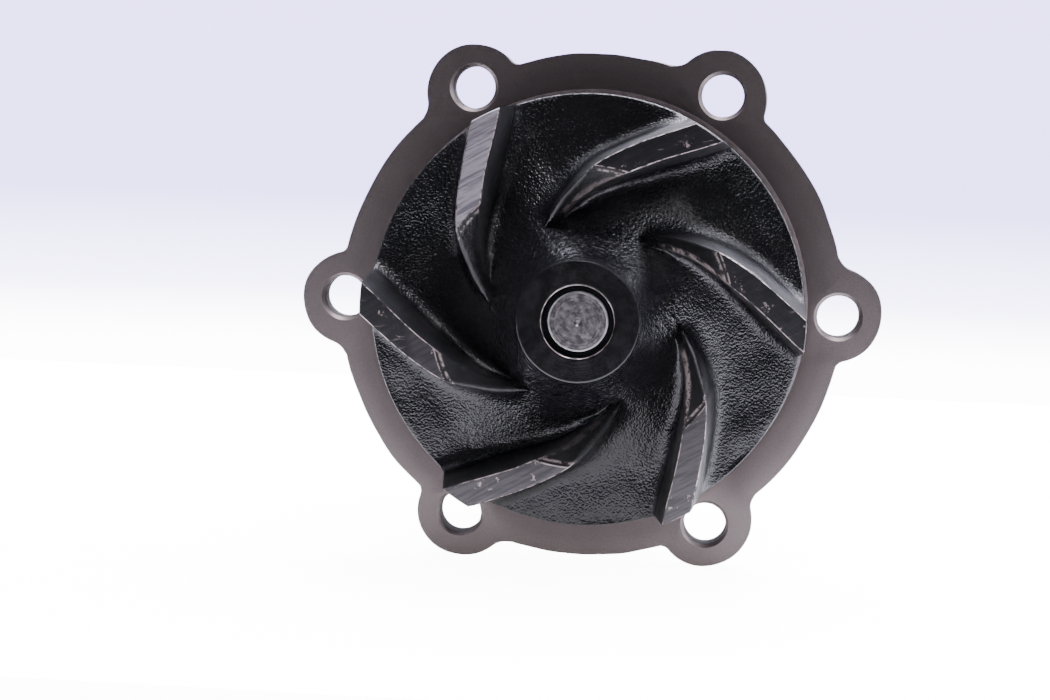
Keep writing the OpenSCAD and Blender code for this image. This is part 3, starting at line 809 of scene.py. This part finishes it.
def black_casting_paint():
    """Glossy black paint over a sand casting, with machined lands in several states of wear."""
    s = Shader("impeller_paint")
    s.set(IOR=1.5)
    land, edge, bare, faced = (s.attribute(name) for name in ("land", "edge", "bare", "faced"))
    on_land = s.math("GREATER_THAN", land, 0.05)
    milled = s.ramp(land, (0.05, 0.0), (0.5, 1.0))
    cast = s.math("SUBTRACT", 1.0, s.math("MAXIMUM", milled, s.math("GREATER_THAN", faced, 0.5)))
    # Sand grains under the paint, a little drowned where the paint ran thick
    grains = s.noise(2150, 1.5, 0.5)
    lumps = s.noise(900, 1, 0.5)
    near_hub = s.ramp(s.math("DIVIDE", s.shaft_radius(), 100), (0.14, 1.0), (0.21, 0.25))
    near_hub = s.math("MULTIPLY", near_hub, 1.9)
    thick = s.ramp(s.noise(55, 3), (0.35, 0.45), (0.62, 1.0))
    sand = s.math("MULTIPLY", s.math("MULTIPLY_ADD", lumps, near_hub, grains), thick)
    sand = s.math("MULTIPLY", sand, s.attribute("skin"))
    texture = s.bump(s.math("MULTIPLY", sand, cast), 0.3, 1.0)
    # Lines that the facing cutter left across the lands, and odd scratches
    cutter = s.noise(1700, 2.5, 0.7, place=s.stretch((22, 1, 1), (0, CUTTER_ANGLE, 0)))
    scratch = s.noise(800, 3, 0.8, place=s.stretch((9, 1, 1), (0, SCRATCH_ANGLE, 0)))
    lines = s.math("MULTIPLY_ADD", scratch, 0.35, cutter)
    # Rings that the lathe left on the hub's face
    ring = s.rings(9)
    ground = s.math("MULTIPLY", s.math("MULTIPLY", lines, on_land), s.math("POWER", land, 1.5))
    flat = s.math("ADD", ground, s.math("MULTIPLY", s.math("MULTIPLY", ring, faced), 0.3))
    s.feed("Normal", s.bump(flat, 0.09, 0.7, texture))
    paint = s.mix(s.noise(90, 4), (0.0028, 0.0028, 0.0036), (0.006, 0.006, 0.0078))
    speckle = s.ramp(s.noise(420, 5, 0.75), (0.45, 0.0), (0.6, 1.0))
    paint = s.mix(faced, paint, s.mix(speckle, (0.002, 0.002, 0.0025), (0.01, 0.0097, 0.011)))
    clean = s.ramp(land, (0.0, (0.006, 0.006, 0.007)), (0.25, (0.011, 0.011, 0.013)),
                   (0.6, (0.08, 0.073, 0.077)), (1.0, (0.5, 0.465, 0.52)))
    dull = s.mix(0.55, clean, (0.02, 0.019, 0.022))
    tone = s.mix(s.ramp(lines, (0.62, 0.0), (0.8, 1.0)), clean, dull)
    colour = s.mix(on_land, paint, tone)
    flecks = s.ramp(s.noise(330, 5, 0.72), (0.64, 0.0), (0.68, 1.0))
    fleck = s.math("MULTIPLY", s.math("MULTIPLY", flecks, s.math("LESS_THAN", land, 0.9)), on_land)
    worn = s.math("MULTIPLY", edge, s.ramp(s.noise(520, 5, 0.75), (0.45, 0.0), (0.52, 1.0)))
    # Paint rubbed off the rim and the hub's edges; this mask is only wear
    rubbed_and_painted_light = s.math("GREATER_THAN", s.math("MULTIPLY", bare, s.noise(420, 4, 0.75)), 0.3)
    dark_land = s.math("MULTIPLY", on_land, s.math("LESS_THAN", land, 0.3))
    scuffs = s.math("MULTIPLY", dark_land, s.ramp(scratch, (0.62, 0.0), (0.7, 0.45)))
    metal = s.math("MAXIMUM", s.math("MAXIMUM", worn, s.math("MULTIPLY", fleck, 0.8)), rubbed_and_painted_light)
    metal = s.math("MAXIMUM", metal, scuffs)
    s.feed("Base Color", s.mix(metal, colour, (0.42, 0.35, 0.34)))
    s.feed("Metallic", s.math("MAXIMUM", s.math("MULTIPLY", metal, 0.7),
                              s.math("MULTIPLY", land, 0.75)))
    rough = s.math("ADD", s.ramp(s.noise(260, 3), (0.3, 0.17), (0.7, 0.27)),
                   s.ramp(s.attribute("skin"), (0.45, 0.2), (0.8, 0.0)))
    worked = s.math("MULTIPLY_ADD", land, 0.22, 0.24)
    s.feed("Roughness", s.mix(s.math("SUBTRACT", 1.0, cast), rough, worked))
    return s


def plain_metal(name, low, high, rough, grain=700, depth=0.02, turned=False):
    """Metal whose tone, polish and fine grain vary; turned parts also carry lathe rings."""
    s = Shader(name)
    s.set(Metallic=1.0)
    fine = s.noise(grain, 4, 0.6)
    tone = s.noise(grain * 0.12, 4, 0.65)
    relief = fine
    if turned:
        ring = s.rings(7)
        tone = s.math("MULTIPLY", s.math("ADD", tone, ring), 0.5)
        relief = s.math("MULTIPLY_ADD", ring, 2.0, fine)
    s.feed("Base Color", s.mix(s.ramp(tone, (0.3, 0.0), (0.7, 1.0)), low, high))
    s.feed("Roughness", s.ramp(fine, (0.3, rough * 0.8), (0.7, min(rough * 1.3, 1.0))))
    s.feed("Normal", s.bump(relief, depth, 0.6))
    return s


def plain_mould(name, low, high, rough, grain=900, depth=0.05):
    """Rubber, polymer, carbon or ceramic with a slight mottle and grain."""
    s = Shader(name)
    fine = s.noise(grain, 4, 0.6)
    s.feed("Base Color", s.mix(s.noise(grain * 0.15, 4, 0.6), low, high))
    s.feed("Roughness", s.ramp(fine, (0.3, rough * 0.8), (0.7, min(rough * 1.25, 1.0))))
    s.feed("Normal", s.bump(fine, depth, 0.6))
    return s


def housing_iron():
    """Grey iron under a thin brown-grey finish: fine and flat where machined, sandy where cast."""
    s = Shader("cast_housing")
    cut = s.attribute("machined")
    grain = s.noise(2300, 3, 0.7)
    sand = s.noise(1100, 2, 0.6)
    cloud = s.noise(45, 4, 0.6)
    fresh = s.mix(cloud, (0.14, 0.12, 0.117), (0.165, 0.143, 0.14))
    fresh = s.mix(s.ramp(grain, (0.35, 0.0), (0.65, 0.5)), fresh, (0.22, 0.19, 0.183))
    # Bare machined chamfers, partly real bare iron and partly painted highlight: their colour is
    # brighter than bare iron so they stay bright in the impeller's shade
    bare = s.mix(s.noise(500, 4, 0.7), (0.6, 0.5, 0.5), (0.95, 0.82, 0.82))
    # Painted light: the face is lightened in a band just outside the recess, where the impeller shades
    # it
    rubbed_and_painted_light = s.ramp(s.math("DIVIDE", s.shaft_radius(), 100), (0.463, 0.6), (0.5, 0.0))
    fresh = s.mix(rubbed_and_painted_light, fresh, (0.24, 0.2, 0.196))
    fresh = s.mix(s.attribute("mouth"), fresh, bare)
    # Painted shade: the bolt holes' walls are coloured near black for the shade inside them
    bore = s.attribute("bore")
    fresh = s.mix(bore, fresh, s.mix(grain, (0.02, 0.017, 0.017), (0.06, 0.052, 0.05)))
    skin = s.mix(s.noise(60, 5, 0.6), (0.035, 0.03, 0.029), (0.065, 0.057, 0.054))
    skin = s.mix(s.math("MULTIPLY", sand, 0.4), skin, (0.1, 0.088, 0.084))
    s.feed("Base Color", s.mix(cut, skin, fresh))
    s.feed("Metallic", s.math("SUBTRACT", s.math("MULTIPLY_ADD", cut, 0.6, 0.35), bore))
    rough = s.mix(cut, s.ramp(sand, (0.3, 0.45), (0.7, 0.62)), s.ramp(grain, (0.3, 0.4), (0.7, 0.52)))
    s.feed("Roughness", s.math("MULTIPLY_ADD", bore, 0.4, rough))
    s.feed("Normal", s.bump(s.mix(cut, sand, s.math("MULTIPLY", grain, 0.1)), 0.3, 0.8))
    return s


def shaft_steel():
    """Bright turned steel: its end carries arcs and small marks, a painted highlight round its rim, and
    a painted shade with a painted glint in the centre hole.
    """
    s = Shader("turned_steel")
    tenth = s.math("DIVIDE", s.shaft_radius(), 10)
    nose = s.math("LESS_THAN", s.split_place()[1], 0)
    # Painted highlight: the chamfer round the end is coloured near white and made less metallic
    rim = s.math("MULTIPLY", s.ramp(tenth, (0.555, 0.0), (0.575, 1.0)), nose)
    # Painted highlight: a small bright dot in the middle of the end
    centre_glint = s.ramp(tenth, (0.03, 0.7), (0.045, 0.0))
    # Painted shade: the centre hole is darkened
    hollow = s.ramp(tenth, (0.08, 1.0), (0.1, 0.0))
    rim = s.math("MAXIMUM", rim, centre_glint)
    ring = s.rings(3)
    marks = s.noise(900, 3, 0.7)
    mottle = s.math("MULTIPLY_ADD", marks, 0.8, s.math("MULTIPLY", ring, 0.2))
    steel = s.mix(s.ramp(mottle, (0.4, 0.0), (0.62, 1.0)), (0.2, 0.185, 0.19), (0.46, 0.425, 0.44))
    # Painted shade in the centre hole
    steel = s.mix(s.math("MULTIPLY", hollow, 0.6), steel, (0.06, 0.056, 0.058))
    # Painted highlight on the rim and in the middle of the end
    s.feed("Base Color", s.mix(rim, steel, (0.95, 0.92, 0.94)))
    s.feed("Metallic", s.math("MULTIPLY_ADD", rim, -0.6, 1.0))
    s.feed("Roughness", s.ramp(marks, (0.3, 0.28), (0.7, 0.42)))
    s.feed("Normal", s.bump(mottle, 0.16, 0.8))
    return s


def node_materials():
    """Every carried-over CAD node and its material."""
    steel = plain_metal("bearing_steel", (0.42, 0.41, 0.41), (0.6, 0.59, 0.58), 0.22)
    polished = plain_metal("polished_steel", (0.6, 0.6, 0.6), (0.72, 0.72, 0.71), 0.08)
    cage = plain_mould("cage_polymer", (0.16, 0.09, 0.035), (0.24, 0.14, 0.06), 0.45)
    lip = plain_mould("lip_rubber", (0.012, 0.011, 0.011), (0.03, 0.028, 0.027), 0.6)
    rubber = plain_mould("black_rubber", (0.008, 0.008, 0.008), (0.02, 0.02, 0.02), 0.55)
    spring = plain_metal("spring_steel", (0.1, 0.1, 0.115), (0.2, 0.2, 0.21), 0.35)
    brass = plain_metal("pressed_brass", (0.5, 0.34, 0.13), (0.68, 0.49, 0.22), 0.3)
    stainless = plain_metal("stainless", (0.42, 0.41, 0.4), (0.58, 0.57, 0.55), 0.25)
    carbon = plain_mould("carbon", (0.012, 0.012, 0.013), (0.03, 0.03, 0.032), 0.35)
    ceramic = plain_mould("ceramic", (0.6, 0.57, 0.5), (0.72, 0.69, 0.62), 0.25)
    return {
        "shaft": shaft_steel(), "bearing_outer_ring": steel, "bearing_balls": polished,
        "ball_cage": cage, "bearing_rollers": polished, "roller_cage": cage,
        "front_bearing_seal": lip, "rear_bearing_seal": lip, "bearing_circlip": spring,
        "seal_cup": brass, "seal_bellows": rubber, "seal_spring": stainless,
        "seal_nose_ferrule": stainless, "seal_clamp_ring": stainless, "carbon_face_ring": carbon,
        "seal_mating_ring": ceramic, "mating_ring_boot": rubber, "seal_sleeve": stainless,
        "shaft_slinger": spring,
    }


# ---------- Floor, light, camera ----------

TABLE_FRONT = -0.13
TABLE_BACK = 0.35
TABLE_HALF_W = 0.4
TABLE_CORNER_R = 0.12
TABLE_GAP = 0.0001
TABLE_GLOW = 12.0
TABLE_GLOW_ON_PART = 0.75


def build_floor():
    """A pale lit table that ends just in front of the view."""
    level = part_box("pump_housing")[0][2] - TABLE_GAP
    bm = bmesh.new()
    corners = []
    radius = TABLE_CORNER_R
    for x, y, start in ((1, 1, 0), (-1, 1, 90), (-1, -1, 180), (1, -1, 270)):
        centre_y = (TABLE_BACK - radius) if y > 0 else (TABLE_FRONT + radius)
        for step in range(13):
            turn = math.radians(start + 7.5 * step)
            across = x * (TABLE_HALF_W - radius) + radius * math.cos(turn)
            corners.append(bm.verts.new((across, centre_y + radius * math.sin(turn), level)))
    bm.faces.new(corners)
    mesh = bpy.data.meshes.new("floor")
    bm.to_mesh(mesh)
    bm.free()
    floor = bpy.data.objects.new("floor", mesh)
    bpy.context.scene.collection.objects.link(floor)
    s = Shader("floor")
    s.set(Roughness=0.6)
    s.feed("Base Color", s.mix(s.noise(3, 3), (0.86, 0.86, 0.87), (0.89, 0.89, 0.89)))
    rays = s.add("ShaderNodeLightPath").outputs["Is Camera Ray"]
    s.surface.inputs["Emission Color"].default_value = (1.0, 0.985, 0.98, 1)
    extra_glow = TABLE_GLOW - TABLE_GLOW_ON_PART
    s.feed("Emission Strength", s.math("MULTIPLY_ADD", rays, extra_glow, TABLE_GLOW_ON_PART))
    use(floor, s)


def soft_light(name, place, size, radiance, colour):
    """A rectangular soft box aimed at the part, whose surface has the given radiance."""
    lamp = bpy.data.lights.new(name, "AREA")
    lamp.shape = "RECTANGLE"
    lamp.size, lamp.size_y = size
    lamp.energy = radiance * math.pi * size[0] * size[1]
    lamp.color = colour
    holder = bpy.data.objects.new(name, lamp)
    bpy.context.scene.collection.objects.link(holder)
    holder.location = place
    holder.rotation_euler = (-Vector(place)).to_track_quat("-Z", "Y").to_euler()
    holder.visible_camera = False


def build_lights():
    soft_light("top_soft_box", (0.12, -0.3, 1.0), (0.5, 0.35), 20, (0.95, 0.93, 1.0))
    soft_light("back_soft_box", (0.2, 0.5, 0.9), (1.0, 0.7), 20, (0.88, 0.87, 1.0))
    soft_light("right_soft_box", (0.95, -0.05, 0.45), (0.3, 0.5), 11, (0.9, 0.9, 1.0))
    soft_light("front_soft_box", (0.5, -0.6, 0.6), (0.25, 0.25), 6, (0.98, 0.95, 1.0))


# Strength of the studio's dark parts, its bright arc and the wall behind the part
STUDIO_DARK = 0.17
STUDIO_RING = 6.0
STUDIO_BACK = 1.0
# The backdrop that the camera sees, from the table's edge upwards
BACKDROP = 14.0
BACKDROP_LOW = -0.095
BACKDROP_HIGH = 0.04
BACKDROP_STOPS = [(0, (1, 1, 1)), (0.18, (0.44, 0.43, 0.6)),
                  (0.46, (0.225, 0.198, 0.4)), (1, (0.23, 0.2, 0.385))]


def build_world():
    """Dark studio with a bright arc above and to the right; the view itself sees a pale backdrop."""
    world = bpy.data.worlds.new("studio")
    bpy.context.scene.world = world
    world.use_nodes = True
    nodes, links = world.node_tree.nodes, world.node_tree.links
    seen = nodes["Background"]
    around = nodes.new("ShaderNodeBackground")
    both = nodes.new("ShaderNodeMixShader")
    rays = nodes.new("ShaderNodeLightPath")
    place = nodes.new("ShaderNodeTexCoord")
    split = nodes.new("ShaderNodeSeparateXYZ")
    links.new(place.outputs["Generated"], split.inputs[0])

    def rise(value, low, high, top=1.0):
        reach = nodes.new("ShaderNodeMapRange")
        reach.interpolation_type = "SMOOTHSTEP"
        for name, number in (("From Min", low), ("From Max", high), ("To Max", top)):
            reach.inputs[name].default_value = number
        links.new(value, reach.inputs["Value"])
        return reach.outputs[0]

    def math_node(operation, *values):
        node = nodes.new("ShaderNodeMath")
        node.operation = operation
        for slot, value in enumerate(values):
            if isinstance(value, float):
                node.inputs[slot].default_value = value
            else:
                links.new(value, node.inputs[slot])
        return node.outputs[0]

    right, back, up = split.outputs
    level = math_node("MULTIPLY", rise(back, -0.25, 0.05), rise(back, 0.8, 0.4))
    arc = rise(math_node("MULTIPLY_ADD", right, 0.75, up), -0.15, 0.4, STUDIO_RING)
    ring = math_node("MULTIPLY", level, arc)
    behind = math_node("ADD", rise(back, 0.05, 0.6, STUDIO_BACK), STUDIO_DARK)
    around.inputs["Color"].default_value = (0.88, 0.86, 1, 1)
    links.new(math_node("ADD", ring, behind), around.inputs["Strength"])
    ramp = nodes.new("ShaderNodeValToRGB")
    set_stops(ramp, BACKDROP_STOPS)
    reach = nodes.new("ShaderNodeMapRange")
    reach.inputs["From Min"].default_value = BACKDROP_LOW
    reach.inputs["From Max"].default_value = BACKDROP_HIGH
    links.new(up, reach.inputs["Value"])
    links.new(reach.outputs[0], ramp.inputs[0])
    links.new(ramp.outputs[0], seen.inputs["Color"])
    seen.inputs["Strength"].default_value = BACKDROP
    links.new(rays.outputs["Is Camera Ray"], both.inputs["Fac"])
    links.new(around.outputs[0], both.inputs[1])
    links.new(seen.outputs[0], both.inputs[2])
    links.new(both.outputs[0], nodes["World Output"].inputs["Surface"])


def build_camera():
    data = bpy.data.cameras.new("camera")
    data.sensor_width = SENSOR_W
    data.lens = SENSOR_W * FOCAL_PX / PHOTO_W
    data.clip_start = 0.02
    camera = bpy.data.objects.new("camera", data)
    bpy.context.scene.collection.objects.link(camera)
    camera.location = CAMERA_PLACE
    turn = (CAMERA_AIM - CAMERA_PLACE).to_track_quat("-Z", "Y")
    camera.rotation_mode = "QUATERNION"
    camera.rotation_quaternion = turn @ Matrix.Rotation(CAMERA_ROLL, 3, "Z").to_quaternion()
    bpy.context.scene.camera = camera


# ---------- Assembly ----------

build_camera()
build_floor()
build_lights()
build_world()

impeller = build_impeller()
use(impeller, black_casting_paint())
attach(impeller, "rotor")
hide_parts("impeller")

housing = build_housing()
use(housing, housing_iron())
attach(housing, "housing")
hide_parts("pump_housing")
hub = build_pulley_hub()
use(hub, plain_metal("hub_steel", (0.16, 0.15, 0.145), (0.3, 0.285, 0.275), 0.34, 900, 0.03, True))
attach(hub, "rotor")
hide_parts("pulley_hub")

for name, shader in node_materials().items():
    use(NODES[name], shader)
